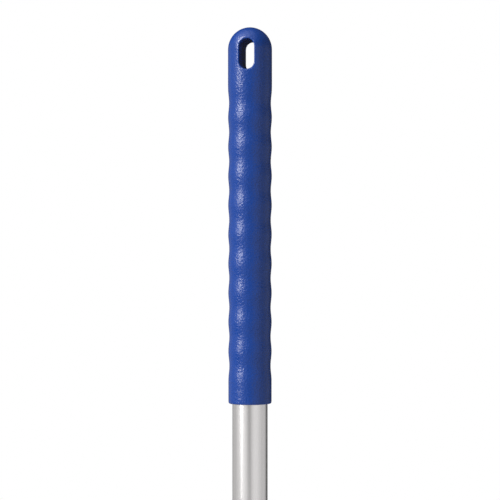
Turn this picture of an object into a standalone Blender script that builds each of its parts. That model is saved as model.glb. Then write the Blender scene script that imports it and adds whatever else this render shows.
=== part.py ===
"""Pole handle for a boat hook head or deck tool.

An aluminium tube carries a rippled plastic grip with a hanging slot at its top, and a splined
plastic sleeve at its foot that pushes into the socket of a tool head. A cup-shaped plug inside
the tube's foot is held by one blind rivet, and a stopper closes the tube's top under the grip.

Frame: the pole's axis is +Z, the origin is the centre of its lowest face, and the hanging
slot runs through the grip along Y. The sleeve's slit faces -Y and the rivet faces +Y.
"""

import math

import bmesh
import bpy
from mathutils import Matrix, Vector

MM = 0.001

# Driving dimensions, in millimetres
OVERALL_LENGTH = 1220.0
GAP = 0.3
TUBE_RADIUS = 12.7
TUBE_WALL = 1.2

GRIP_LENGTH = 271.8
GRIP_TOP_RADIUS = 15.9
GRIP_FOOT_RADIUS = 15.6
GRIP_SOCKET_DEPTH = 235.0
RIPPLE_PITCH = 21.1
RIPPLE_COUNT = 10
RIPPLE_DEPTH = 0.72
FIRST_VALLEY_BELOW_TOP = 54.7
SLOT_WIDTH = 10.6
SLOT_HEIGHT = 21.9
SLOT_BELOW_TOP = 9.4

SLEEVE_HEIGHT = 48.5
SLEEVE_FOOT_RADIUS = 14.7
SLEEVE_HEAD_RADIUS = 15.2
COLLAR_RADIUS = 16.2
COLLAR_STOP_HEIGHT = 45.3
PAD_COUNT = 6
GROOVE_ANGLE = math.radians(25.0)
GROOVE_FLOOR_RADIUS = 14.0
GROOVE_TOP = 44.9
FOOT_NOTCH_HEIGHT = 0.9
FOOT_NOTCH_RADIUS = 13.2
SHOULDER_HEIGHT = 4.5
SLIT_WIDTH = 0.9
SLIT_FLOOR_RADIUS = 13.6
BEAD_SPAN = 4.9
BEAD_PROUD = 0.7

PLUG_HEIGHT = 38.0
PLUG_WALL = 2.5
PLUG_RECESS = 1.5
STOPPER_DEPTH = 22.0
STOPPER_FLANGE = 1.2
STOPPER_WALL = 2.0

RIVET_HEIGHT = 22.0
RIVET_RADIUS = 1.2
RIVET_HEAD_RADIUS = 2.4

# Sizes worked out from them
BORE_RADIUS = TUBE_RADIUS - TUBE_WALL
SOCKET_RADIUS = TUBE_RADIUS + GAP
GRIP_FOOT = OVERALL_LENGTH - GRIP_LENGTH
SOCKET_TOP = GRIP_FOOT + GRIP_SOCKET_DEPTH
TUBE_FOOT = SHOULDER_HEIGHT + GAP
TUBE_TOP = SOCKET_TOP - 2 * GAP - STOPPER_FLANGE
FIRST_VALLEY = OVERALL_LENGTH - FIRST_VALLEY_BELOW_TOP
LAST_VALLEY = FIRST_VALLEY - (RIPPLE_COUNT - 1) * RIPPLE_PITCH

# How finely round shapes are faceted
GRIP_SEGMENTS = 36
TUBE_SEGMENTS = 48
RIVET_SEGMENTS = 16
RIPPLE_STEPS = 6


def clear_scene():
    for obj in list(bpy.data.objects):
        bpy.data.objects.remove(obj)


def plastic_or_metal(name, colour, roughness, metallic=0.0):
    """A Principled material with one colour."""
    material = bpy.data.materials.new(name)
    material.use_nodes = True
    shader = material.node_tree.nodes["Principled BSDF"]
    shader.inputs["Base Color"].default_value = (*colour, 1.0)
    shader.inputs["Roughness"].default_value = roughness
    shader.inputs["Metallic"].default_value = metallic
    return material


def placed(name, bm, material=None):
    """An object in the scene that holds bm, which is in millimetres."""
    bmesh.ops.scale(bm, vec=Vector((MM, MM, MM)), verts=bm.verts)
    mesh = bpy.data.meshes.new(name)
    bm.to_mesh(mesh)
    bm.free()
    obj = bpy.data.objects.new(name, mesh)
    bpy.context.scene.collection.objects.link(obj)
    if material:
        mesh.materials.append(material)
        mesh.shade_smooth()
        mesh.set_sharp_from_angle(angle=math.radians(35.0))
    return obj


def spun(outline, segments, angle=2 * math.pi):
    """The closed (radius, height) outline turned about Z. A part turn is capped at both ends."""
    bm = bmesh.new()
    start = [bm.verts.new((r, 0.0, z)) for r, z in outline]
    whole = angle >= 2 * math.pi
    if whole:
        geometry = [bm.edges.new(pair) for pair in zip(start, start[1:] + start[:1])]
    else:
        geometry = [bm.faces.new(start)]
    bmesh.ops.spin(
        bm,
        geom=geometry,
        cent=(0, 0, 0),
        axis=(0, 0, 1),
        angle=angle,
        steps=segments,
        use_merge=whole,
    )
    bmesh.ops.remove_doubles(bm, verts=bm.verts, dist=1e-4)
    on_axis = [e for e in bm.edges if all(v.co.xy.length < 1e-4 for v in e.verts)]
    bmesh.ops.delete(bm, geom=on_axis, context="EDGES")
    bmesh.ops.recalc_face_normals(bm, faces=bm.faces)
    return bm


def extruded(outline, y_from, y_to):
    """The closed (x, z) outline as a prism along Y."""
    bm = bmesh.new()
    face = bm.faces.new([bm.verts.new((x, y_from, z)) for x, z in outline])
    made = bmesh.ops.extrude_face_region(bm, geom=[face])["geom"]
    moved = [v for v in made if isinstance(v, bmesh.types.BMVert)]
    bmesh.ops.translate(bm, vec=(0, y_to - y_from, 0), verts=moved)
    bmesh.ops.recalc_face_normals(bm, faces=bm.faces)
    return bm


def helper(name, bm):
    """A cutter or a piece to be joined on, left out of the build."""
    obj = placed(name, bm)
    obj.hide_render = True
    obj.display_type = "WIRE"
    return obj


def boolean(obj, other, operation):
    modifier = obj.modifiers.new(other.name, "BOOLEAN")
    modifier.operation = operation
    modifier.object = other


def arc(centre, radius, start, end, steps):
    """Points round a circle, from one angle to another in degrees."""
    turns = [math.radians(start + (end - start) * i / steps) for i in range(steps + 1)]
    return [
        (centre[0] + radius * math.cos(a), centre[1] + radius * math.sin(a)) for a in turns
    ]


def ripple(distance):
    """How far the grip stands above a valley's floor, 0 to 1, at a distance from the nearest
    valley: a smooth wave from valley to crest."""
    share = min(1.0, abs(distance) / (RIPPLE_PITCH / 2))
    return (1 - math.cos(math.pi * share)) / 2


def grip_radius(height):
    """The grip's outer radius, from its foot to the shoulder of its dome."""
    along = (height - GRIP_FOOT) / GRIP_LENGTH
    crest = GRIP_FOOT_RADIUS + (GRIP_TOP_RADIUS - GRIP_FOOT_RADIUS) * along
    valley = round((FIRST_VALLEY - height) / RIPPLE_PITCH)
    valley = min(RIPPLE_COUNT - 1, max(0, valley))
    distance = height - (FIRST_VALLEY - valley * RIPPLE_PITCH)
    return crest - RIPPLE_DEPTH * (1 - ripple(distance))


def grip_outline():
    below = LAST_VALLEY - RIPPLE_PITCH / 2
    step = RIPPLE_PITCH / RIPPLE_STEPS
    heights = [below + i * step for i in range(RIPPLE_COUNT * RIPPLE_STEPS + 1)]
    foot_edge = arc((GRIP_FOOT_RADIUS - 1.2, GRIP_FOOT + 1.2), 1.2, -90, 0, 3)
    rippled = [(grip_radius(z), z) for z in heights]
    dome_centre = (0.0, OVERALL_LENGTH - GRIP_TOP_RADIUS)
    dome = arc(dome_centre, GRIP_TOP_RADIUS, 0, 90, 9)
    socket = [(0.0, SOCKET_TOP), (SOCKET_RADIUS, SOCKET_TOP), (SOCKET_RADIUS, GRIP_FOOT)]
    return socket + foot_edge + rippled + dome


def build_grip(material):
    grip = placed("handle_grip", spun(grip_outline(), GRIP_SEGMENTS), material)
    end = SLOT_WIDTH / 2
    top = OVERALL_LENGTH - SLOT_BELOW_TOP - end
    foot = OVERALL_LENGTH - SLOT_BELOW_TOP - SLOT_HEIGHT + end
    outline = arc((0, top), end, 0, 180, 10) + arc((0, foot), end, 180, 360, 10)
    reach = GRIP_TOP_RADIUS + 4
    boolean(grip, helper("slot_cutter", extruded(outline, -reach, reach)), "DIFFERENCE")


def tube_outline():
    return [
        (BORE_RADIUS, TUBE_FOOT),
        (TUBE_RADIUS, TUBE_FOOT),
        (TUBE_RADIUS, TUBE_TOP),
        (BORE_RADIUS, TUBE_TOP),
    ]


def stopper_outline():
    body = BORE_RADIUS - GAP
    flange_foot = TUBE_TOP + GAP
    foot = flange_foot - STOPPER_DEPTH
    return [
        (0.0, foot),
        (body - 0.8, foot),
        (body, foot + 1.5),
        (body, flange_foot),
        (TUBE_RADIUS - GAP / 3, flange_foot),
        (TUBE_RADIUS - GAP / 3, flange_foot + STOPPER_FLANGE),
        (body - STOPPER_WALL, flange_foot + STOPPER_FLANGE),
        (body - STOPPER_WALL, foot + STOPPER_WALL),
        (0.0, foot + STOPPER_WALL),
    ]


def plug_outline():
    body = BORE_RADIUS - GAP
    core = body - PLUG_WALL
    dimple = 4.0
    return [
        (0.0, PLUG_RECESS + 0.8),
        (dimple, PLUG_RECESS + 0.8),
        (dimple + 0.4, PLUG_RECESS),
        (body - 0.4, PLUG_RECESS),
        (body, PLUG_RECESS + 0.4),
        (body, PLUG_HEIGHT - 2.0),
        (body - 0.7, PLUG_HEIGHT),
        (core, PLUG_HEIGHT),
        (core, PLUG_RECESS + 3.5),
        (0.0, PLUG_RECESS + 3.5),
    ]


def sleeve_outline():
    """The sleeve before its grooves are cut: a shoulder for the tube, a barbed collar at the
    top and a body that tapers to the foot."""
    return [
        (BORE_RADIUS, 0.0),
        (SLEEVE_FOOT_RADIUS - 0.4, 0.0),
        (SLEEVE_FOOT_RADIUS, 0.4),
        (SLEEVE_HEAD_RADIUS, COLLAR_STOP_HEIGHT),
        (COLLAR_RADIUS - 0.15, COLLAR_STOP_HEIGHT),
        (COLLAR_RADIUS, COLLAR_STOP_HEIGHT + 0.4),
        (SOCKET_RADIUS + 0.6, SLEEVE_HEIGHT),
        (SOCKET_RADIUS, SLEEVE_HEIGHT),
        (SOCKET_RADIUS, SHOULDER_HEIGHT),
        (BORE_RADIUS, SHOULDER_HEIGHT),
    ]


def groove_cutter(index):
    """One groove between two pads, with the foot notched a little deeper."""
    reach = COLLAR_RADIUS + 2
    outline = [
        (FOOT_NOTCH_RADIUS, -1.0),
        (reach, -1.0),
        (reach, GROOVE_TOP),
        (GROOVE_FLOOR_RADIUS, GROOVE_TOP),
        (GROOVE_FLOOR_RADIUS, FOOT_NOTCH_HEIGHT),
        (FOOT_NOTCH_RADIUS, FOOT_NOTCH_HEIGHT),
    ]
    bm = spun(outline, 5, GROOVE_ANGLE)
    facing = math.radians(-90.0) + index * 2 * math.pi / PAD_COUNT
    turn = Matrix.Rotation(facing - GROOVE_ANGLE / 2, 3, "Z")
    bmesh.ops.rotate(bm, cent=(0, 0, 0), matrix=turn, verts=bm.verts)
    return helper(f"groove_cutter_{index}", bm)


def gable_cutter():
    """The front groove runs on through the collar's lip, under a gable."""
    half = GROOVE_FLOOR_RADIUS * math.sin(GROOVE_ANGLE / 2)
    eaves = COLLAR_STOP_HEIGHT + 0.6
    outline = [
        (-half, GROOVE_TOP - 1),
        (half, GROOVE_TOP - 1),
        (half, eaves),
        (0.0, eaves + 1.6),
        (-half, eaves),
    ]
    return helper("gable_cutter", extruded(outline, -COLLAR_RADIUS - 2, -GROOVE_FLOOR_RADIUS))


def bead_block():
    """The block on the front groove's floor that the slit parts into two beads."""
    half = BEAD_SPAN / 2
    proud = GROOVE_FLOOR_RADIUS + BEAD_PROUD
    outline = [
        (-half, FOOT_NOTCH_HEIGHT),
        (half, FOOT_NOTCH_HEIGHT),
        (half, COLLAR_STOP_HEIGHT + 0.2),
        (-half, COLLAR_STOP_HEIGHT + 0.2),
    ]
    return helper("bead_block", extruded(outline, -proud, -GROOVE_FLOOR_RADIUS + 0.6))


def slit_cutter():
    half = SLIT_WIDTH / 2
    top = COLLAR_STOP_HEIGHT - 1.0
    outline = [(-half, -1.0), (half, -1.0), (half, top), (-half, top)]
    return helper("slit_cutter", extruded(outline, -COLLAR_RADIUS - 2, -SLIT_FLOOR_RADIUS))


def lying_along_y(bm):
    """Turns a shape from the Z axis to the rivet's line, along +Y at the rivet's height."""
    turn = Matrix.Rotation(math.radians(-90.0), 3, "X")
    bmesh.ops.rotate(bm, cent=(0, 0, 0), matrix=turn, verts=bm.verts)
    bmesh.ops.translate(bm, vec=(0, 0, RIVET_HEIGHT), verts=bm.verts)
    return bm


def rivet_hole_cutter():
    radius = RIVET_RADIUS + GAP
    outline = [(0.0, 5.0), (radius, 5.0), (radius, 20.0), (0.0, 20.0)]
    return helper("rivet_hole_cutter", lying_along_y(spun(outline, RIVET_SEGMENTS)))


def rivet_body_outline():
    """Hole, blind bulb inside the plug, shank and low domed head, as (radius, distance out)."""
    hole = 0.9
    seat = GROOVE_FLOOR_RADIUS + GAP / 2
    return [
        (hole, 6.6),
        (1.5, 6.6),
        (1.9, 7.0),
        (1.9, 7.9),
        (RIVET_RADIUS, 8.25),
        (RIVET_RADIUS, seat),
        (RIVET_HEAD_RADIUS, seat),
        (RIVET_HEAD_RADIUS - 0.1, seat + 0.25),
        (1.7, seat + 0.55),
        (hole, seat + 0.65),
    ]


def rivet_mandrel_outline():
    stem = 0.6
    snapped_end = GROOVE_FLOOR_RADIUS + 0.4
    return [
        (0.0, 5.2),
        (0.9, 5.3),
        (1.3, 5.7),
        (1.2, 6.3),
        (stem, 6.3),
        (stem, snapped_end),
        (0.0, snapped_end),
    ]


def build_sleeve(material, rivet_hole):
    sleeve = placed("end_sleeve", spun(sleeve_outline(), TUBE_SEGMENTS), material)
    for index in range(PAD_COUNT):
        boolean(sleeve, groove_cutter(index), "DIFFERENCE")
    boolean(sleeve, gable_cutter(), "DIFFERENCE")
    boolean(sleeve, bead_block(), "UNION")
    boolean(sleeve, slit_cutter(), "DIFFERENCE")
    boolean(sleeve, rivet_hole, "DIFFERENCE")


def main():
    clear_scene()
    blue = plastic_or_metal("grip_blue", (0.016, 0.06, 0.26), 0.45)
    anodised = plastic_or_metal("tube_anodised", (0.78, 0.78, 0.78), 0.3, 1.0)
    charcoal = plastic_or_metal("sleeve_charcoal", (0.07, 0.058, 0.055), 0.4)
    natural = plastic_or_metal("stopper_natural", (0.65, 0.65, 0.62), 0.5)
    alloy = plastic_or_metal("rivet_alloy", (0.7, 0.7, 0.7), 0.35, 1.0)
    steel = plastic_or_metal("mandrel_steel", (0.45, 0.45, 0.46), 0.4, 1.0)

    build_grip(blue)
    rivet_hole = rivet_hole_cutter()
    tube = placed("pole_tube", spun(tube_outline(), TUBE_SEGMENTS), anodised)
    boolean(tube, rivet_hole, "DIFFERENCE")
    placed("tube_stopper", spun(stopper_outline(), TUBE_SEGMENTS), natural)
    plug = placed("end_plug", spun(plug_outline(), TUBE_SEGMENTS), charcoal)
    boolean(plug, rivet_hole, "DIFFERENCE")
    build_sleeve(charcoal, rivet_hole)
    rivet = spun(rivet_body_outline(), RIVET_SEGMENTS)
    placed("rivet_body", lying_along_y(rivet), alloy)
    mandrel = spun(rivet_mandrel_outline(), RIVET_SEGMENTS)
    placed("rivet_mandrel", lying_along_y(mandrel), steel)


main()
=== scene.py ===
import math

import bmesh
import bpy
from mathutils import Matrix, Vector


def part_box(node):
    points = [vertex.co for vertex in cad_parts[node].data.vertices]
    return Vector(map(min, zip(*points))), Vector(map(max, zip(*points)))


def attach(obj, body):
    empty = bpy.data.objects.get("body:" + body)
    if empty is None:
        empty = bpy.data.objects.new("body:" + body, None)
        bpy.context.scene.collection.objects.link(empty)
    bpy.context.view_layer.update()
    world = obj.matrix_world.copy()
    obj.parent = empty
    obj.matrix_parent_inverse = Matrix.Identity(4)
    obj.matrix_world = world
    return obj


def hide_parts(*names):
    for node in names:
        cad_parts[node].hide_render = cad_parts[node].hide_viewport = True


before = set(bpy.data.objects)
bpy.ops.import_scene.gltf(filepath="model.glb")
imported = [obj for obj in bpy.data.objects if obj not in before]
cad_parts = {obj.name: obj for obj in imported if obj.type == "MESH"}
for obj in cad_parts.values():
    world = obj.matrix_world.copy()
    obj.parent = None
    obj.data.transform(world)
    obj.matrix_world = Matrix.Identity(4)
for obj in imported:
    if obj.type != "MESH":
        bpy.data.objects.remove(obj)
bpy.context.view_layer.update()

bl_info = {
    "name": "Pole handle",
    "version": (1, 0, 0),
    "blender": (4, 5, 0),
    "location": "3D View > Sidebar > Pole handle",
    "description": "Builds the moulded grip, drawn tube and splined end sleeve of a pole handle",
    "category": "Object",
}

MM = 0.001

GRIP_LOW, GRIP_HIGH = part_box("handle_grip")
TUBE_LOW, TUBE_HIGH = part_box("pole_tube")
_, SLEEVE_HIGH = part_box("end_sleeve")
PLUG_LOW, PLUG_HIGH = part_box("end_plug")
RIVET_LOW, RIVET_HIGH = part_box("rivet_body")
MANDREL_LOW, MANDREL_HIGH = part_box("rivet_mandrel")
GRIP_TOP = GRIP_HIGH.z
GRIP_FOOT = GRIP_LOW.z
TUBE_RADIUS = TUBE_HIGH.x
TUBE_WALL = 1.2 * MM
# The room between two pieces that press together.
FIT_GAP = 0.3 * MM
RIVET_HEIGHT = (RIVET_LOW.z + RIVET_HIGH.z) / 2
# Two faces that meet at more than this keep a crisp edge between them.
CRISP = math.radians(40.0)
CRISP_SMALL = math.radians(50.0)
ALL_SMOOTH = math.radians(180.0)


# ---------------------------------------------------------------- settings


class GripSettings(bpy.types.PropertyGroup):
    colour: bpy.props.FloatVectorProperty(
        name="Colour",
        description="Body colour of the moulded grip, as sRGB",
        subtype="COLOR_GAMMA",
        size=3,
        min=0.0,
        max=1.0,
        default=(0.006, 0.195, 0.482),
    )
    top_radius: bpy.props.FloatProperty(
        name="Top radius",
        description="Radius of the grip's crests at its rounded top",
        default=GRIP_HIGH.x,
        unit="LENGTH",
    )
    foot_radius: bpy.props.FloatProperty(
        name="Foot radius",
        description="Radius of the grip at its open foot",
        default=15.6 * MM,
        unit="LENGTH",
    )
    ripple_depth: bpy.props.FloatProperty(
        name="Ripple depth",
        description="Height of a crest over the valleys beside it",
        default=0.72 * MM,
        unit="LENGTH",
    )
    ripple_pitch: bpy.props.FloatProperty(
        name="Ripple pitch",
        description="Distance from one valley to the next",
        default=21.1 * MM,
        unit="LENGTH",
    )
    ripple_count: bpy.props.IntProperty(
        name="Valleys",
        description="Number of ring-shaped valleys",
        default=10,
        min=1,
    )
    first_valley: bpy.props.FloatProperty(
        name="First valley",
        description="Distance of the highest valley below the grip's top",
        default=54.7 * MM,
        unit="LENGTH",
    )
    slot_width: bpy.props.FloatProperty(
        name="Slot width",
        description="Width of the hanging slot",
        default=10.6 * MM,
        unit="LENGTH",
    )
    slot_height: bpy.props.FloatProperty(
        name="Slot height",
        description="Height of the hanging slot, round ends included",
        default=21.9 * MM,
        unit="LENGTH",
    )
    slot_below_top: bpy.props.FloatProperty(
        name="Slot below top",
        description="Distance from the grip's top to the slot's upper end",
        default=9.4 * MM,
        unit="LENGTH",
    )
    grain: bpy.props.FloatProperty(
        name="Grain",
        description="Width of one cell of the moulded leather grain",
        default=1.55 * MM,
        unit="LENGTH",
    )


class TubeSettings(bpy.types.PropertyGroup):
    colour: bpy.props.FloatVectorProperty(
        name="Colour",
        description="Colour of the anodised aluminium, as sRGB",
        subtype="COLOR_GAMMA",
        size=3,
        min=0.0,
        max=1.0,
        default=(0.947, 0.937, 0.935),
    )
    wall: bpy.props.FloatProperty(
        name="Wall",
        description="Thickness of the tube's wall",
        default=TUBE_WALL,
        unit="LENGTH",
    )
    streak: bpy.props.FloatProperty(
        name="Drawing line",
        description="Width of one line that the drawing die leaves along the tube",
        default=0.5 * MM,
        unit="LENGTH",
    )


class SleeveSettings(bpy.types.PropertyGroup):
    colour: bpy.props.FloatVectorProperty(
        name="Colour",
        description="Colour of the sleeve's nylon, as sRGB",
        subtype="COLOR_GAMMA",
        size=3,
        min=0.0,
        max=1.0,
        default=(0.30, 0.275, 0.268),
    )
    collar_radius: bpy.props.FloatProperty(
        name="Collar radius",
        description="Radius of the barbed collar's lip",
        default=SLEEVE_HIGH.x,
        unit="LENGTH",
    )
    stop_height: bpy.props.FloatProperty(
        name="Stop height",
        description="Height of the lip's flat underside above the foot",
        default=45.3 * MM,
        unit="LENGTH",
    )
    groove_angle: bpy.props.FloatProperty(
        name="Groove angle",
        description="Angle of the groove between two pads, seen from the axis",
        default=math.radians(25.0),
        subtype="ANGLE",
        unit="ROTATION",
    )
    pit: bpy.props.FloatProperty(
        name="Grain",
        description="Width of one pit of the sleeve's spark-eroded grain",
        default=0.45 * MM,
        unit="LENGTH",
    )


class StageSettings(bpy.types.PropertyGroup):
    floor_colour: bpy.props.FloatVectorProperty(
        name="Floor colour",
        description="Colour of the plain pale floor, as sRGB",
        subtype="COLOR_GAMMA",
        size=3,
        min=0.0,
        max=1.0,
        default=(0.85, 0.85, 0.85),
    )
    camera_turn: bpy.props.FloatProperty(
        name="Camera turn",
        description="Angle of the camera round the pole, from the slot's own axis",
        default=math.radians(10.0),
        subtype="ANGLE",
        unit="ROTATION",
    )
    camera_distance: bpy.props.FloatProperty(
        name="Camera distance",
        description="Distance from the camera to the pole's axis",
        default=1.262,
        unit="LENGTH",
    )
    camera_below_top: bpy.props.FloatProperty(
        name="Camera below top",
        description="Height of the level camera, measured down from the grip's top",
        default=160.9 * MM,
        unit="LENGTH",
    )
    focal_length: bpy.props.FloatProperty(
        name="Focal length",
        description="Focal length on a 36 mm wide sensor, in millimetres",
        default=125.7,
        unit="CAMERA",
    )


# ---------------------------------------------------------------- mesh helpers

# Points closer than this, in metres, are one point.
MERGE = 1e-7


def arc(centre, radius, start, end, steps):
    """Points round a circle, from one angle to another in degrees."""
    turns = [math.radians(start + (end - start) * i / steps) for i in range(steps + 1)]
    return [
        (centre[0] + radius * math.cos(a), centre[1] + radius * math.sin(a)) for a in turns
    ]


def face_outward(bm):
    """Turns every face's normal outward, also on a ring-shaped mesh."""
    bmesh.ops.recalc_face_normals(bm, faces=bm.faces)
    if bm.calc_volume(signed=True) < 0:
        bmesh.ops.reverse_faces(bm, faces=bm.faces)


def turned(outline, segments):
    """The closed (radius, height) outline turned once round the Z axis."""
    bm = bmesh.new()
    start = [bm.verts.new((r, 0.0, z)) for r, z in outline]
    edges = [bm.edges.new(pair) for pair in zip(start, start[1:] + start[:1])]
    bmesh.ops.spin(
        bm,
        geom=edges,
        cent=(0, 0, 0),
        axis=(0, 0, 1),
        angle=2 * math.pi,
        steps=segments,
        use_merge=True,
    )
    bmesh.ops.remove_doubles(bm, verts=bm.verts, dist=MERGE)
    on_axis = [e for e in bm.edges if all(v.co.xy.length < MERGE for v in e.verts)]
    bmesh.ops.delete(bm, geom=on_axis, context="EDGES")
    face_outward(bm)
    return bm


def lofted(rings):
    """Closed rings of points: the first one pushed on to each of the others in turn, and
    closed onto itself."""
    bm = bmesh.new()
    verts = [bm.verts.new(point) for point in rings[0]]
    edges = [bm.edges.new(pair) for pair in zip(verts, verts[1:] + verts[:1])]
    for ring in rings[1:] + rings[:1]:
        order = {v.co.to_tuple(7): i for i, v in enumerate(verts)}
        made = bmesh.ops.extrude_edge_only(bm, edges=edges)["geom"]
        pushed = [v for v in made if isinstance(v, bmesh.types.BMVert)]
        verts = sorted(pushed, key=lambda v: order[v.co.to_tuple(7)])
        fresh = set(verts)
        edges = [e for e in bm.edges if e.verts[0] in fresh and e.verts[1] in fresh]
        for vert, point in zip(verts, ring):
            vert.co = point
    bmesh.ops.remove_doubles(bm, verts=bm.verts, dist=MERGE)
    face_outward(bm)
    return bm


def prism(outline, y_from, y_to):
    """The closed (x, z) outline pushed along Y."""
    bm = bmesh.new()
    face = bm.faces.new([bm.verts.new((x, y_from, z)) for x, z in outline])
    made = bmesh.ops.extrude_face_region(bm, geom=[face])["geom"]
    moved = [v for v in made if isinstance(v, bmesh.types.BMVert)]
    bmesh.ops.translate(bm, vec=(0, y_to - y_from, 0), verts=moved)
    face_outward(bm)
    return bm


def shown(name, bm, material, crisp=CRISP):
    """A smooth-shaded object made from bm, with its place in its mesh."""
    mesh = bpy.data.meshes.new(name)
    bm.to_mesh(mesh)
    bm.free()
    mesh.materials.append(material)
    mesh.shade_smooth()
    mesh.set_sharp_from_angle(angle=crisp)
    piece = bpy.data.objects.new(name, mesh)
    bpy.context.scene.collection.objects.link(piece)
    return piece


def carve(piece, bm):
    """Cuts the shape in bm out of the piece, and leaves no modifier on it."""
    mesh = bpy.data.meshes.new("carving")
    bm.to_mesh(mesh)
    bm.free()
    tool = bpy.data.objects.new("carving", mesh)
    bpy.context.scene.collection.objects.link(tool)
    cut = piece.modifiers.new("carving", "BOOLEAN")
    cut.operation = "DIFFERENCE"
    cut.solver = "EXACT"
    cut.object = tool
    graph = bpy.context.evaluated_depsgraph_get()
    carved = bpy.data.meshes.new_from_object(piece.evaluated_get(graph))
    piece.modifiers.clear()
    piece.data = carved
    bpy.data.objects.remove(tool)


def settle(piece, node):
    """Puts the piece on the pole's one body, in the place of a CAD node."""
    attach(piece, "root")
    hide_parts(node)


# ---------------------------------------------------------------- materials


def linear(srgb):
    """sRGB, as a hex string or as three numbers, turned to a linear colour with alpha."""
    if isinstance(srgb, str):
        srgb = [int(srgb[i : i + 2], 16) / 255 for i in (1, 3, 5)]
    parts = [c / 12.92 if c <= 0.04045 else ((c + 0.055) / 1.055) ** 2.4 for c in srgb]
    return (*parts, 1.0)


def add(tree, kind, inputs=None, **settings):
    """A new node. An input's value is a number, a colour or the socket that feeds it."""
    node = tree.nodes.new(kind)
    for key, value in settings.items():
        setattr(node, key, value)
    for key, value in (inputs or {}).items():
        if isinstance(value, bpy.types.NodeSocket):
            tree.links.new(value, node.inputs[key])
        else:
            node.inputs[key].default_value = value
    return node


def new_material(name):
    """An empty Principled material: its tree, its shader and its Object coordinates."""
    material = bpy.data.materials.new(name)
    material.use_nodes = True
    tree = material.node_tree
    shader = tree.nodes["Principled BSDF"]
    place = add(tree, "ShaderNodeTexCoord").outputs["Object"]
    return material, tree, shader, place


def moulded_polypropylene(settings):
    """Injection-moulded polypropylene with a leather grain: a satin body colour whose
    highlight breaks up into small flecks."""
    material, tree, shader, place = new_material("moulded polypropylene")
    fleck = add(
        tree,
        "ShaderNodeTexNoise",
        {"Vector": place, "Scale": 1 / settings.grain, "Detail": 2.0, "Roughness": 0.5},
    )
    broad = add(
        tree,
        "ShaderNodeTexNoise",
        {"Vector": place, "Scale": 1 / (9 * MM), "Detail": 3.0, "Roughness": 0.55},
    )
    grain = add(
        tree,
        "ShaderNodeBump",
        {"Height": fleck.outputs["Fac"], "Strength": 1.0, "Distance": 0.34 * MM},
    )
    wander = add(
        tree,
        "ShaderNodeBump",
        {
            "Height": broad.outputs["Fac"],
            "Strength": 0.12,
            "Distance": 0.6 * MM,
            "Normal": grain.outputs["Normal"],
        },
    )
    gloss = add(
        tree,
        "ShaderNodeMapRange",
        {
            "Value": broad.outputs["Fac"],
            "From Min": 0.3,
            "From Max": 0.7,
            "To Min": 0.25,
            "To Max": 0.3,
        },
    )
    base = linear(settings.colour)
    pale = tuple(min(1.0, 1.12 * c) for c in base[:3])
    tint = add(
        tree,
        "ShaderNodeMix",
        {"Factor": broad.outputs["Fac"], "A": base, "B": (*pale, 1.0)},
        data_type="RGBA",
    )
    tree.links.new(tint.outputs["Result"], shader.inputs["Base Color"])
    tree.links.new(gloss.outputs["Result"], shader.inputs["Roughness"])
    tree.links.new(wander.outputs["Normal"], shader.inputs["Normal"])
    shader.inputs["IOR"].default_value = 1.5
    return material


def anodised_aluminium(settings):
    """Drawn, etched and clear-anodised aluminium: a satin metal with faint lines along the
    tube that the drawing die left."""
    material, tree, shader, place = new_material("satin anodised aluminium")
    along = add(
        tree,
        "ShaderNodeMapping",
        {
            "Vector": place,
            "Scale": (1 / settings.streak, 1 / settings.streak, 1 / (150 * MM)),
        },
    )
    lines = add(
        tree,
        "ShaderNodeTexNoise",
        {"Vector": along.outputs["Vector"], "Scale": 1.0, "Detail": 4.0, "Roughness": 0.6},
    )
    etch = add(
        tree,
        "ShaderNodeTexNoise",
        {"Vector": place, "Scale": 1 / (0.25 * MM), "Detail": 2.0},
    )
    satin = add(
        tree,
        "ShaderNodeMapRange",
        {
            "Value": lines.outputs["Fac"],
            "From Min": 0.3,
            "From Max": 0.7,
            "To Min": 0.22,
            "To Max": 0.29,
        },
    )
    height = add(
        tree,
        "ShaderNodeMath",
        {0: etch.outputs["Fac"], 1: 0.25, 2: lines.outputs["Fac"]},
        operation="MULTIPLY_ADD",
    )
    drawn = add(
        tree,
        "ShaderNodeBump",
        {"Height": height.outputs["Value"], "Strength": 0.15, "Distance": 0.01 * MM},
    )
    base = linear(settings.colour)
    pale = tuple(min(1.0, 1.05 * c) for c in base[:3])
    tint = add(
        tree,
        "ShaderNodeMix",
        {"Factor": lines.outputs["Fac"], "A": base, "B": (*pale, 1.0)},
        data_type="RGBA",
    )
    tree.links.new(tint.outputs["Result"], shader.inputs["Base Color"])
    tree.links.new(satin.outputs["Result"], shader.inputs["Roughness"])
    tree.links.new(drawn.outputs["Normal"], shader.inputs["Normal"])
    shader.inputs["Metallic"].default_value = 1.0
    return material


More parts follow.
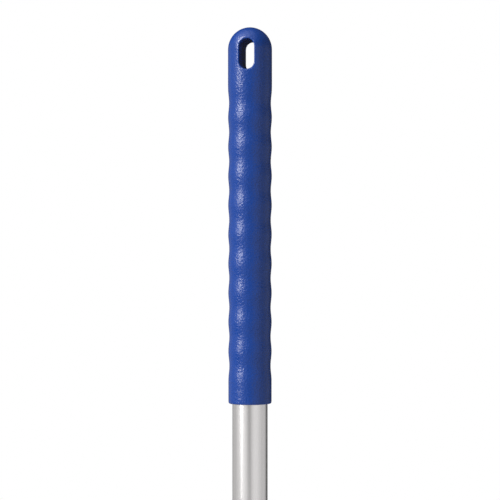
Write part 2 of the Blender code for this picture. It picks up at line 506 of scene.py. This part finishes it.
def glass_filled_nylon(settings):
    """Glass-filled nylon off a spark-eroded mould: dark, waxy, and pitted so that its
    highlight is speckled."""
    material, tree, shader, place = new_material("glass-filled nylon")
    pits = add(
        tree,
        "ShaderNodeTexVoronoi",
        {"Vector": place, "Scale": 1 / settings.pit, "Randomness": 1.0},
    )
    cloud = add(
        tree,
        "ShaderNodeTexNoise",
        {"Vector": place, "Scale": 1 / (4 * MM), "Detail": 4.0, "Roughness": 0.6},
    )
    height = add(
        tree,
        "ShaderNodeMath",
        {0: pits.outputs["Distance"], 1: 0.6, 2: cloud.outputs["Fac"]},
        operation="MULTIPLY_ADD",
    )
    pitted = add(
        tree,
        "ShaderNodeBump",
        {"Height": height.outputs["Value"], "Strength": 1.0, "Distance": 0.09 * MM},
    )
    gloss = add(
        tree,
        "ShaderNodeMapRange",
        {
            "Value": cloud.outputs["Fac"],
            "From Min": 0.3,
            "From Max": 0.7,
            "To Min": 0.28,
            "To Max": 0.42,
        },
    )
    base = linear(settings.colour)
    dark = tuple(0.75 * c for c in base[:3])
    tint = add(
        tree,
        "ShaderNodeMix",
        {"Factor": cloud.outputs["Fac"], "A": (*dark, 1.0), "B": base},
        data_type="RGBA",
    )
    tree.links.new(tint.outputs["Result"], shader.inputs["Base Color"])
    tree.links.new(gloss.outputs["Result"], shader.inputs["Roughness"])
    tree.links.new(pitted.outputs["Normal"], shader.inputs["Normal"])
    shader.inputs["IOR"].default_value = 1.53
    return material


def plain_moulding(name, colour, roughness, grit):
    """A plain moulded or turned surface: one colour, with grit just fine enough to dull it."""
    material, tree, shader, place = new_material(name)
    noise = add(
        tree,
        "ShaderNodeTexNoise",
        {"Vector": place, "Scale": 1 / grit, "Detail": 3.0, "Roughness": 0.6},
    )
    rough = add(
        tree,
        "ShaderNodeMapRange",
        {"Value": noise.outputs["Fac"], "To Min": roughness - 0.06, "To Max": roughness + 0.06},
    )
    bump = add(
        tree,
        "ShaderNodeBump",
        {"Height": noise.outputs["Fac"], "Strength": 0.3, "Distance": 0.03 * MM},
    )
    base = linear(colour)
    dark = tuple(0.85 * c for c in base[:3])
    tint = add(
        tree,
        "ShaderNodeMix",
        {"Factor": noise.outputs["Fac"], "A": (*dark, 1.0), "B": base},
        data_type="RGBA",
    )
    tree.links.new(tint.outputs["Result"], shader.inputs["Base Color"])
    tree.links.new(rough.outputs["Result"], shader.inputs["Roughness"])
    tree.links.new(bump.outputs["Normal"], shader.inputs["Normal"])
    return material


def plain_metal(name, colour, roughness, grit):
    """The same surface in bare metal."""
    material = plain_moulding(name, colour, roughness, grit)
    material.node_tree.nodes["Principled BSDF"].inputs["Metallic"].default_value = 1.0
    return material


# ---------------------------------------------------------------- the grip

GRIP_SEGMENTS = 72
RINGS_PER_RIPPLE = 12
SLOT_COLUMNS = 8
SLOT_ROWS = 12
SLOT_WALL_CUTS = 6
SLOT_ROUNDING = 1.1 * MM
# Between the tube's end and the closed end of its socket, where the stopper's flange sits.
STOPPER_ROOM = 1.8 * MM
# Bands of faces along the socket, the plain foot, the neck under the slot and the dome.
SOCKET_BANDS = 12
FOOT_BANDS = 9
NECK_BANDS = 6
DOME_BANDS = 9
# A subdivided ring or ripple settles inside its cage by these shares.
RING_PULL = (2 + math.cos(2 * math.pi / GRIP_SEGMENTS)) / 3
RIPPLE_PULL = (2 + math.cos(2 * math.pi / RINGS_PER_RIPPLE)) / 3


def ripple(share):
    """Height over a valley's floor, 0 to 1, at a share of the way to the crest: a smooth
    wave."""
    share = min(1.0, abs(share))
    return (1 - math.cos(math.pi * share)) / 2


def body_radius(s, height):
    """The grip's outer radius at a height below its dome."""
    along = (height - GRIP_FOOT) / (GRIP_TOP - GRIP_FOOT)
    crest = s.foot_radius + (s.top_radius - s.foot_radius) * along
    from_first = (GRIP_TOP - s.first_valley - height) / s.ripple_pitch
    valley = min(s.ripple_count - 1, max(0, round(from_first)))
    share = 2 * (from_first - valley)
    return crest - s.ripple_depth / RIPPLE_PULL * (1 - ripple(share))


def dome_radius(s, height):
    """The grip's outer radius from its neck up over the rounded top."""
    above = max(0.0, height - (GRIP_TOP - s.top_radius))
    return math.sqrt(max(0.0, s.top_radius**2 - above**2))


def grip_cage_outline(s):
    """The cage's outline from the closed end of the tube's socket, down inside, round the
    foot, up the ripples and over the dome."""
    socket_radius = TUBE_RADIUS + FIT_GAP
    socket_top = TUBE_HIGH.z + STOPPER_ROOM
    slot_top = GRIP_TOP - s.slot_below_top
    slot_foot = slot_top - s.slot_height
    lowest = GRIP_TOP - s.first_valley - (s.ripple_count - 0.5) * s.ripple_pitch
    highest = GRIP_TOP - s.first_valley + 0.5 * s.ripple_pitch
    step = s.ripple_pitch / RINGS_PER_RIPPLE
    steps = round((highest - lowest) / step)

    socket = [
        (0.0, socket_top),
        (0.5 * socket_radius, socket_top),
        (socket_radius - 0.6 * MM, socket_top),
        (socket_radius, socket_top - 0.6 * MM),
        (socket_radius, socket_top - 6 * MM),
    ]
    bore = [
        (socket_radius, socket_top + (GRIP_FOOT - socket_top) * i / SOCKET_BANDS)
        for i in range(1, SOCKET_BANDS)
    ]
    foot = [
        (socket_radius, GRIP_FOOT + 0.8 * MM),
        (socket_radius + 0.2 * MM, GRIP_FOOT + 0.1 * MM),
        (socket_radius + 0.9 * MM, GRIP_FOOT),
        (s.foot_radius - 1.1 * MM, GRIP_FOOT),
        (s.foot_radius - 0.3 * MM, GRIP_FOOT + 0.2 * MM),
        (s.foot_radius, GRIP_FOOT + 1.0 * MM),
        (s.foot_radius, GRIP_FOOT + 3.0 * MM),
    ]
    foot_top = foot[-1][1]
    lower = [
        (s.foot_radius, foot_top + (lowest - foot_top) * i / FOOT_BANDS)
        for i in range(1, FOOT_BANDS)
    ]
    rippled = [(body_radius(s, lowest + i * step), lowest + i * step) for i in range(steps + 1)]
    neck = [highest + (slot_foot - highest) * i / NECK_BANDS for i in range(1, NECK_BANDS)]
    rows = [slot_foot + s.slot_height * i / SLOT_ROWS for i in range(SLOT_ROWS + 1)]
    upper = [(dome_radius(s, z), z) for z in neck + rows]
    start = math.degrees(math.asin((slot_top - GRIP_TOP + s.top_radius) / s.top_radius))
    dome = arc((0.0, GRIP_TOP - s.top_radius), s.top_radius, start, 90.0, DOME_BANDS)[1:]
    return socket + bore + foot + lower + rippled + upper + dome


def slot_rim_point(s, share):
    """A point of the slot's outline, (x, z), at a share of the way round from its foot."""
    radius = s.slot_width / 2
    straight = s.slot_height - s.slot_width
    length = 2 * math.pi * radius + 2 * straight
    low = GRIP_TOP - s.slot_below_top - s.slot_height + radius
    side = 1 if share < 0.5 else -1
    run = length * (share if share < 0.5 else 1 - share)
    quarter = math.pi * radius / 2
    if run < quarter:
        turn = run / radius
        return side * radius * math.sin(turn), low - radius * math.cos(turn)
    if run < quarter + straight:
        return side * radius, low + run - quarter
    turn = (run - quarter - straight) / radius
    return side * radius * math.cos(turn), low + straight + radius * math.sin(turn)


def open_slot(bm, s):
    """Takes the slot's faces off the front and back of the cage, shapes both rims, joins
    them with the slot's wall and cuts that wall into bands."""
    slot_top = GRIP_TOP - s.slot_below_top
    slot_foot = slot_top - s.slot_height
    half_turn = math.pi * (SLOT_COLUMNS + 0.5) / GRIP_SEGMENTS
    rims = []
    for side in (-1, 1):
        inside = []
        for face in bm.faces:
            middle = face.calc_center_median()
            turn = abs(math.atan2(middle.x, side * middle.y))
            level = slot_foot < middle.z < slot_top
            outer = middle.xy.length > 0.6 * dome_radius(s, middle.z)
            if level and outer and turn < half_turn:
                inside.append(face)
        bmesh.ops.delete(bm, geom=inside, context="FACES")
        rim = [e for e in bm.edges if e.is_boundary and e.verts[0].co.y * side > 0]
        shape_rim(rim, s, side)
        rims.append(rim)
    wall = bmesh.ops.bridge_loops(bm, edges=rims[0] + rims[1])["faces"]
    rungs = [e for e in {e for f in wall for e in f.edges} if e not in rims[0] + rims[1]]
    bmesh.ops.subdivide_edges(bm, edges=rungs, cuts=SLOT_WALL_CUTS, use_grid_fill=True)
    return rims


def shape_rim(rim, s, side):
    """Moves a rectangular rim's points onto the slot's round-ended outline."""
    points = {v for e in rim for v in e.verts}
    lowest = min(v.co.z for v in points)
    start = min((v for v in points if v.co.z < lowest + 1e-6), key=lambda v: abs(v.co.x))
    order = [start]
    spare = set(rim)
    while spare:
        ahead = [e for e in spare if order[-1] in e.verts]
        edge = max(ahead, key=lambda e: e.other_vert(order[-1]).co.x)
        spare.discard(edge)
        order.append(edge.other_vert(order[-1]))
    for i, vert in enumerate(order[:-1]):
        x, z = slot_rim_point(s, i / (len(order) - 1))
        y = math.sqrt(dome_radius(s, z) ** 2 - x**2)
        vert.co = (x, side * y, z)


def build_grip(s):
    """The moulded grip: a turned cage with the slot opened in it, rounded by subdivision."""
    bm = turned(grip_cage_outline(s), GRIP_SEGMENTS)
    rims = open_slot(bm, s)
    bmesh.ops.bevel(
        bm,
        geom=rims[0] + rims[1],
        affect="EDGES",
        offset=SLOT_ROUNDING,
        segments=2,
        profile=0.5,
        material=-1,
    )
    wide = Vector((1 / RING_PULL, 1 / RING_PULL, 1.0))
    bmesh.ops.scale(bm, vec=wide, verts=bm.verts)
    face_outward(bm)
    grip = shown("grip_moulding", bm, moulded_polypropylene(s), ALL_SMOOTH)
    smooth = grip.modifiers.new("smooth surface", "SUBSURF")
    smooth.levels = 1
    smooth.render_levels = 1
    settle(grip, "handle_grip")
    return grip


# ---------------------------------------------------------------- the tube

TUBE_SEGMENTS = 144
TUBE_BANDS = 24
TUBE_CHAMFER = 0.3 * MM


def build_tube(s):
    """The drawn tube, open at both ends, with its four rims chamfered."""
    low, high = TUBE_LOW.z, TUBE_HIGH.z
    bore = TUBE_RADIUS - s.wall
    chamfer = TUBE_CHAMFER
    levels = [low + (high - low) * i / TUBE_BANDS for i in range(1, TUBE_BANDS)]
    outline = [
        (bore + chamfer, low),
        (TUBE_RADIUS - chamfer, low),
        (TUBE_RADIUS, low + chamfer),
        *[(TUBE_RADIUS, z) for z in levels],
        (TUBE_RADIUS, high - chamfer),
        (TUBE_RADIUS - chamfer, high),
        (bore + chamfer, high),
        (bore, high - chamfer),
        (bore, low + chamfer),
    ]
    tube = shown("drawn_tube", turned(outline, TUBE_SEGMENTS), anodised_aluminium(s))
    settle(tube, "pole_tube")
    return tube


# ---------------------------------------------------------------- the end sleeve

PADS = 6
PAD_CORNER = 0.2 * MM
# A groove's side walls lean outward by this much, seen from the axis.
GROOVE_DRAFT = math.radians(1.2)
GROOVE_FLOOR = 14.0 * MM
NOTCH_HEIGHT = 0.9 * MM
SHOULDER_HEIGHT = 4.5 * MM
SLIT_HALF_WIDTH = 0.45 * MM
BEAD_MIDDLE = 1.45 * MM
BEAD_OUTSIDE = 2.45 * MM
BEAD_RADIUS = 1.0 * MM
# How far in front of the axis the gabled window's first cut ends, and its second starts
# and ends.
WINDOW_STEP = 14.65 * MM
WINDOW_FRONT = 14.7 * MM
WINDOW_BACK = 13.6 * MM


def sleeve_section(s, pad, floor, bead, slit):
    """The sleeve's outline seen along its axis: six pads with grooves between them, and in
    the front groove two round-topped beads beside a slit. Radii are in metres."""
    half_groove = s.groove_angle / 2
    half_floor = half_groove - GROOVE_DRAFT
    pitch = 2 * math.pi / PADS
    corner_turn = PAD_CORNER / pad
    spread = [i / 5 for i in range(-5, 6)]
    points = []
    for k in range(PADS):
        middle = -math.pi / 2 + k * pitch
        floors = [(share * half_floor, floor) for share in spread]
        if k == 0:
            floors = front_groove(half_floor, floor, bead, slit)
        pad_half = (pitch - s.groove_angle) / 2
        flat = [
            (half_groove + pad_half + share * (pad_half - corner_turn), pad)
            for share in spread
        ]
        rise = [
            (half_groove - 0.2 * GROOVE_DRAFT, pad - PAD_CORNER),
            (half_groove + 0.3 * corner_turn, pad - 0.3 * PAD_CORNER),
        ]
        fall = [(2 * (half_groove + pad_half) - turn, radius) for turn, radius in reversed(rise)]
        points += [(middle + turn, radius) for turn, radius in floors + rise + flat + fall]
    return points


def front_groove(half, floor, bead, slit):
    """Half of the front groove's floor mirrored about the slit, as (angle, radius)."""
    slit_edge = SLIT_HALF_WIDTH / floor
    bead_edge = BEAD_OUTSIDE / floor
    width = bead_edge - slit_edge
    crown = [
        (slit_edge + width * (1 - math.cos(turn)) / 2, floor + (bead - floor) * math.sin(turn))
        for turn in [math.pi * i / 8 for i in range(9)]
    ]
    right = [(0.0, slit), (0.8 * slit_edge, slit), *crown, (half, floor)]
    left = [(-turn, radius) for turn, radius in reversed(right[1:])]
    return left + right


def sleeve_ring(section, height, radius=None):
    """The section's points at one height, or a circle through the same angles."""
    return [
        ((radius or r) * math.cos(turn), (radius or r) * math.sin(turn), height)
        for turn, r in section
    ]


def gable(half, stop, beads):
    """The gabled window over the front groove, as (x, z), with the beads' round tops left
    standing in it."""
    foot = stop - 0.3 * MM
    eaves = stop + 0.6 * MM
    outline = [(half, foot), (half, eaves), (0.0, eaves + 1.6 * MM), (-half, eaves), (-half, foot)]
    for x in beads:
        outline += arc((x, foot), BEAD_RADIUS, 180.0, 0.0, 12)
    return outline


def build_sleeve(s):
    """The end sleeve: its outline lofted from the foot up to the barbed collar, over the top
    and down the bore, and then the gabled window cut in two steps."""
    bore = TUBE_RADIUS - TUBE_WALL
    socket = TUBE_RADIUS + FIT_GAP
    stop = s.stop_height
    top = SLEEVE_HIGH.z
    lip = s.collar_radius
    foot = sleeve_section(s, pad=14.3 * MM, floor=13.2 * MM, bead=13.3 * MM, slit=13.1 * MM)
    foot_edge = sleeve_section(
        s, pad=14.7 * MM, floor=13.3 * MM, bead=13.4 * MM, slit=13.2 * MM
    )
    low = sleeve_section(s, pad=14.71 * MM, floor=GROOVE_FLOOR, bead=14.6 * MM, slit=13.5 * MM)
    high = sleeve_section(s, pad=15.2 * MM, floor=GROOVE_FLOOR, bead=14.7 * MM, slit=13.5 * MM)
    rings = [
        sleeve_ring(foot, 0.0, bore),
        sleeve_ring(foot, 0.0),
        sleeve_ring(foot_edge, 0.4 * MM),
        sleeve_ring(low, NOTCH_HEIGHT),
        sleeve_ring(high, stop),
        sleeve_ring(high, stop, lip - 0.15 * MM),
        sleeve_ring(high, stop + 0.2 * MM, lip),
        sleeve_ring(high, stop + 0.45 * MM, lip - 0.1 * MM),
        sleeve_ring(high, top - 0.15 * MM, socket + 0.75 * MM),
        sleeve_ring(high, top, socket + 0.55 * MM),
        sleeve_ring(high, top, socket + 0.1 * MM),
        sleeve_ring(high, top - 0.1 * MM, socket),
        sleeve_ring(high, SHOULDER_HEIGHT, socket),
        sleeve_ring(high, SHOULDER_HEIGHT, bore),
    ]
    sleeve = shown("sleeve_moulding", lofted(rings), glass_filled_nylon(s))
    half = GROOVE_FLOOR * math.sin(s.groove_angle / 2)
    beads = (-BEAD_MIDDLE, BEAD_MIDDLE)
    carve(sleeve, prism(gable(half, stop, ()), -lip - 2 * MM, -WINDOW_STEP))
    carve(sleeve, prism(gable(half, stop, beads), -WINDOW_FRONT, -WINDOW_BACK))
    settle(sleeve, "end_sleeve")
    return sleeve


# ---------------------------------------------------------------- plug and rivet

PLUG_SEGMENTS = 96
RIVET_SEGMENTS = 48
PIN_SEGMENTS = 32
RIVET_SHANK = 1.2 * MM
RIVET_HOLE = 0.9 * MM
PIN_RADIUS = 0.6 * MM


def build_plug():
    """The cup-shaped foot plug, with a dished middle to its end face."""
    radius = PLUG_HIGH.x
    low, high = PLUG_LOW.z, PLUG_HIGH.z
    core = radius - 2.5 * MM
    dished = low + 0.8 * MM
    outline = [
        (0.0, dished + 0.3 * MM),
        (1.2 * MM, dished + 0.2 * MM),
        (3.4 * MM, dished),
        (3.9 * MM, dished - 0.2 * MM),
        (4.4 * MM, low + 0.05 * MM),
        (4.9 * MM, low),
        (radius - 0.7 * MM, low),
        (radius - 0.2 * MM, low + 0.2 * MM),
        (radius, low + 0.6 * MM),
        (radius, high - 2.2 * MM),
        (radius - 0.7 * MM, high),
        (core + 0.3 * MM, high),
        (core, high - 0.3 * MM),
        (core, low + 4.0 * MM),
        (core - 0.6 * MM, low + 3.5 * MM),
        (0.0, low + 3.5 * MM),
    ]
    black = plain_moulding("moulded black polypropylene", "#2b2a2b", 0.45, 0.6 * MM)
    plug = shown("foot_plug", turned(outline, PLUG_SEGMENTS), black, CRISP_SMALL)
    settle(plug, "end_plug")
    return plug


def laid_along_y(bm):
    """Turns a shape from the Z axis onto the rivet's line, along +Y."""
    turn = Matrix.Rotation(math.radians(-90.0), 3, "X")
    bmesh.ops.rotate(bm, cent=(0, 0, 0), matrix=turn, verts=bm.verts)
    bmesh.ops.translate(bm, vec=(0, 0, RIVET_HEIGHT), verts=bm.verts)
    return bm


def build_rivet():
    """The set rivet: a domed head on the sleeve, a shank, a bulb inside the plug, and the
    snapped steel pin down its middle."""
    inner, outer = RIVET_LOW.y, RIVET_HIGH.y
    head = RIVET_HIGH.x
    seat = outer - 0.65 * MM
    hole = RIVET_HOLE
    shell = [
        (hole, inner),
        (1.5 * MM, inner),
        (1.85 * MM, inner + 0.3 * MM),
        (1.9 * MM, inner + 0.8 * MM),
        (1.75 * MM, inner + 1.3 * MM),
        (RIVET_SHANK, inner + 1.65 * MM),
        (RIVET_SHANK, seat),
        (head - 0.1 * MM, seat),
        (head, seat + 0.1 * MM),
        (head - 0.1 * MM, seat + 0.25 * MM),
        (head - 0.5 * MM, seat + 0.5 * MM),
        (head - 1.0 * MM, outer - 0.03 * MM),
        (hole + 0.15 * MM, outer),
        (hole, outer - 0.1 * MM),
    ]
    alloy = plain_metal("turned aluminium alloy", "#c9c9c8", 0.34, 0.15 * MM)
    body = shown("rivet_shell", laid_along_y(turned(shell, RIVET_SEGMENTS)), alloy, CRISP_SMALL)
    settle(body, "rivet_body")

    tip, snapped = MANDREL_LOW.y, MANDREL_HIGH.y
    pin = [
        (0.0, tip),
        (0.9 * MM, tip + 0.1 * MM),
        (1.3 * MM, tip + 0.5 * MM),
        (1.2 * MM, tip + 1.1 * MM),
        (PIN_RADIUS, tip + 1.1 * MM),
        (PIN_RADIUS, snapped - 0.1 * MM),
        (0.5 * MM, snapped - 0.03 * MM),
        (0.0, snapped),
    ]
    steel = plain_metal("drawn steel wire", "#8f9092", 0.42, 0.12 * MM)
    stem = shown("rivet_pin", laid_along_y(turned(pin, PIN_SEGMENTS)), steel, CRISP_SMALL)
    settle(stem, "rivet_mandrel")
    return body, stem


# ---------------------------------------------------------------- stage

# Each soft light: degrees round from the camera (left is negative), degrees above level,
# half-widths in degrees where it is full and where it ends, its brightness, and how far it
# is flattened (under 1 is taller than wide). The last one is negative: a black card behind
# the pole, which keeps the slot's wall and the edges dark.
SOFTBOXES = (
    (-57.5, 39.5, 8.0, 13.5, 15.5, 0.25),
    (-57.5, -54.0, 6.0, 9.0, 16.0, 0.2),
    (-29.8, -18.4, 9.8, 37.4, 0.6, 1.65),
    (-121.2, -8.6, 20.2, 45.4, 0.39, 1.24),
    (37.0, -4.0, 7.0, 46.0, 0.66, 1.4),
    (97.0, -5.0, 12.0, 38.0, 0.45, 1.4),
    (-54.0, 60.2, 18.9, 66.7, 1.3, 0.76),
    (-79.5, 2.1, 4.0, 21.8, 0.42, 1.24),
    (60.7, 50.4, 14.9, 59.8, 0.12, 1.23),
    (180.0, 0.0, 11.0, 34.0, -0.085, 1.0),
)
AMBIENT = 0.09
FLOOR_RADIUS = 2.4
FLOOR_SEGMENTS = 96
FLOOR_BELOW = 0.2 * MM
FADE_FROM = 0.5
FADE_TO = 2.3
SENSOR_WIDTH = 36.0


def light_direction(around, above):
    """The direction to a point so many degrees round from the front and above level."""
    turn = math.radians(around)
    rise = math.radians(above)
    out = math.cos(rise)
    return Vector((math.sin(turn) * out, -math.cos(turn) * out, math.sin(rise)))


def build_world(settings):
    """A white studio round the pole: soft lights for the object, plain white behind it."""
    world = bpy.data.worlds.new("studio")
    world.use_nodes = True
    tree = world.node_tree
    tree.nodes.clear()
    way = add(tree, "ShaderNodeTexCoord").outputs["Generated"]
    total = None
    for around, above, full, end, brightness, flat in SOFTBOXES:
        flattened = add(
            tree, "ShaderNodeVectorMath", {0: way, 1: (1.0, 1.0, flat)}, operation="MULTIPLY"
        )
        level = add(
            tree, "ShaderNodeVectorMath", {0: flattened.outputs["Vector"]}, operation="NORMALIZE"
        )
        towards = light_direction(around + math.degrees(settings.camera_turn), above)
        squeezed = Vector((towards.x, towards.y, flat * towards.z)).normalized()
        facing = add(
            tree,
            "ShaderNodeVectorMath",
            {0: level.outputs["Vector"], 1: squeezed},
            operation="DOT_PRODUCT",
        )
        lobe = add(
            tree,
            "ShaderNodeMapRange",
            {
                "Value": facing.outputs["Value"],
                "From Min": math.cos(math.radians(end)),
                "From Max": math.cos(math.radians(full)),
                "To Min": 0.0,
                "To Max": brightness,
            },
            interpolation_type="SMOOTHSTEP",
        )
        if total is None:
            total = lobe.outputs["Result"]
        else:
            total = add(
                tree, "ShaderNodeMath", {0: total, 1: lobe.outputs["Result"]}, operation="ADD"
            ).outputs["Value"]
    total = add(tree, "ShaderNodeMath", {0: total, 1: AMBIENT}, operation="ADD")
    light = add(
        tree,
        "ShaderNodeBackground",
        {"Color": (1.0, 1.0, 1.0, 1.0), "Strength": total.outputs["Value"]},
    )
    white = add(tree, "ShaderNodeBackground", {"Color": (1.0, 1.0, 1.0, 1.0), "Strength": 1.0})
    seen = add(tree, "ShaderNodeLightPath").outputs["Is Camera Ray"]
    both = add(
        tree,
        "ShaderNodeMixShader",
        {0: seen, 1: light.outputs["Background"], 2: white.outputs["Background"]},
    )
    add(tree, "ShaderNodeOutputWorld", {"Surface": both.outputs["Shader"]})
    bpy.context.scene.world = world


def build_floor(settings):
    """A plain pale floor just under the pole, which fades out before its rim."""
    bm = bmesh.new()
    bmesh.ops.create_circle(bm, cap_ends=True, segments=FLOOR_SEGMENTS, radius=FLOOR_RADIUS)
    bmesh.ops.translate(bm, vec=(0, 0, -FLOOR_BELOW), verts=bm.verts)
    material, tree, shader, place = new_material("painted studio floor")
    shader.inputs["Base Color"].default_value = linear(settings.floor_colour)
    shader.inputs["Roughness"].default_value = 0.7
    far = add(tree, "ShaderNodeVectorMath", {0: place}, operation="LENGTH")
    fade = add(
        tree,
        "ShaderNodeMapRange",
        {
            "Value": far.outputs["Value"],
            "From Min": FADE_FROM,
            "From Max": FADE_TO,
            "To Min": 1.0,
            "To Max": 0.0,
        },
        interpolation_type="SMOOTHSTEP",
    )
    tree.links.new(fade.outputs["Result"], shader.inputs["Alpha"])
    floor = shown("studio_floor", bm, material)


def build_camera(settings):
    """A level camera on the grip and the top of the tube."""
    camera = bpy.data.cameras.new("camera")
    camera.sensor_width = SENSOR_WIDTH
    camera.lens = settings.focal_length
    towards = light_direction(math.degrees(settings.camera_turn), 0.0)
    level = Vector((0.0, 0.0, GRIP_TOP - settings.camera_below_top))
    holder = bpy.data.objects.new("camera", camera)
    holder.location = level + towards * settings.camera_distance
    holder.rotation_euler = (-towards).to_track_quat("-Z", "Y").to_euler()
    bpy.context.scene.collection.objects.link(holder)
    bpy.context.scene.camera = holder


# ---------------------------------------------------------------- operators


class POLE_OT_grip(bpy.types.Operator):
    """Model the rippled grip with its hanging slot"""

    bl_idname = "pole.grip"
    bl_label = "Grip"

    def execute(self, context):
        build_grip(context.scene.pole_grip)
        return {"FINISHED"}


class POLE_OT_tube(bpy.types.Operator):
    """Model the drawn aluminium tube"""

    bl_idname = "pole.tube"
    bl_label = "Tube"

    def execute(self, context):
        build_tube(context.scene.pole_tube)
        return {"FINISHED"}


class POLE_OT_sleeve(bpy.types.Operator):
    """Model the splined end sleeve with its barbed collar"""

    bl_idname = "pole.sleeve"
    bl_label = "End sleeve"

    def execute(self, context):
        build_sleeve(context.scene.pole_sleeve)
        return {"FINISHED"}


class POLE_OT_fixings(bpy.types.Operator):
    """Model the foot plug and the rivet, and finish the stopper under the grip"""

    bl_idname = "pole.fixings"
    bl_label = "Plug, rivet and stopper"

    def execute(self, context):
        build_plug()
        build_rivet()
        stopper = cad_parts["tube_stopper"]
        natural = plain_moulding("natural polyethylene", "#d6d5cf", 0.5, 0.8 * MM)
        for slot in stopper.material_slots:
            slot.material = natural
        return {"FINISHED"}


class POLE_OT_stage(bpy.types.Operator):
    """Set up the floor, the studio light and the camera"""

    bl_idname = "pole.stage"
    bl_label = "Stage"

    def execute(self, context):
        settings = context.scene.pole_stage
        build_world(settings)
        build_floor(settings)
        build_camera(settings)
        context.scene.view_settings.view_transform = "Standard"
        return {"FINISHED"}


class POLE_PT_panel(bpy.types.Panel):
    """The pole handle's settings and building steps"""

    bl_idname = "POLE_PT_panel"
    bl_label = "Pole handle"
    bl_space_type = "VIEW_3D"
    bl_region_type = "UI"
    bl_category = "Pole handle"

    def draw(self, context):
        scene = context.scene
        for operator, settings in STEPS:
            box = self.layout.box()
            if settings:
                group = getattr(scene, settings)
                for name in group.__annotations__:
                    box.prop(group, name)
            box.operator(operator)


STEPS = (
    ("pole.grip", "pole_grip"),
    ("pole.tube", "pole_tube"),
    ("pole.sleeve", "pole_sleeve"),
    ("pole.fixings", None),
    ("pole.stage", "pole_stage"),
)
GROUPS = {
    "pole_grip": GripSettings,
    "pole_tube": TubeSettings,
    "pole_sleeve": SleeveSettings,
    "pole_stage": StageSettings,
}
CLASSES = (
    *GROUPS.values(),
    POLE_OT_grip,
    POLE_OT_tube,
    POLE_OT_sleeve,
    POLE_OT_fixings,
    POLE_OT_stage,
    POLE_PT_panel,
)


def register():
    for cls in CLASSES:
        bpy.utils.register_class(cls)
    for name, group in GROUPS.items():
        setattr(bpy.types.Scene, name, bpy.props.PointerProperty(type=group))


def unregister():
    for name in GROUPS:
        delattr(bpy.types.Scene, name)
    for cls in reversed(CLASSES):
        bpy.utils.unregister_class(cls)


def main():
    register()
    bpy.ops.pole.grip()
    bpy.ops.pole.tube()
    bpy.ops.pole.sleeve()
    bpy.ops.pole.fixings()
    bpy.ops.pole.stage()


if __name__ == "__main__":
    main()
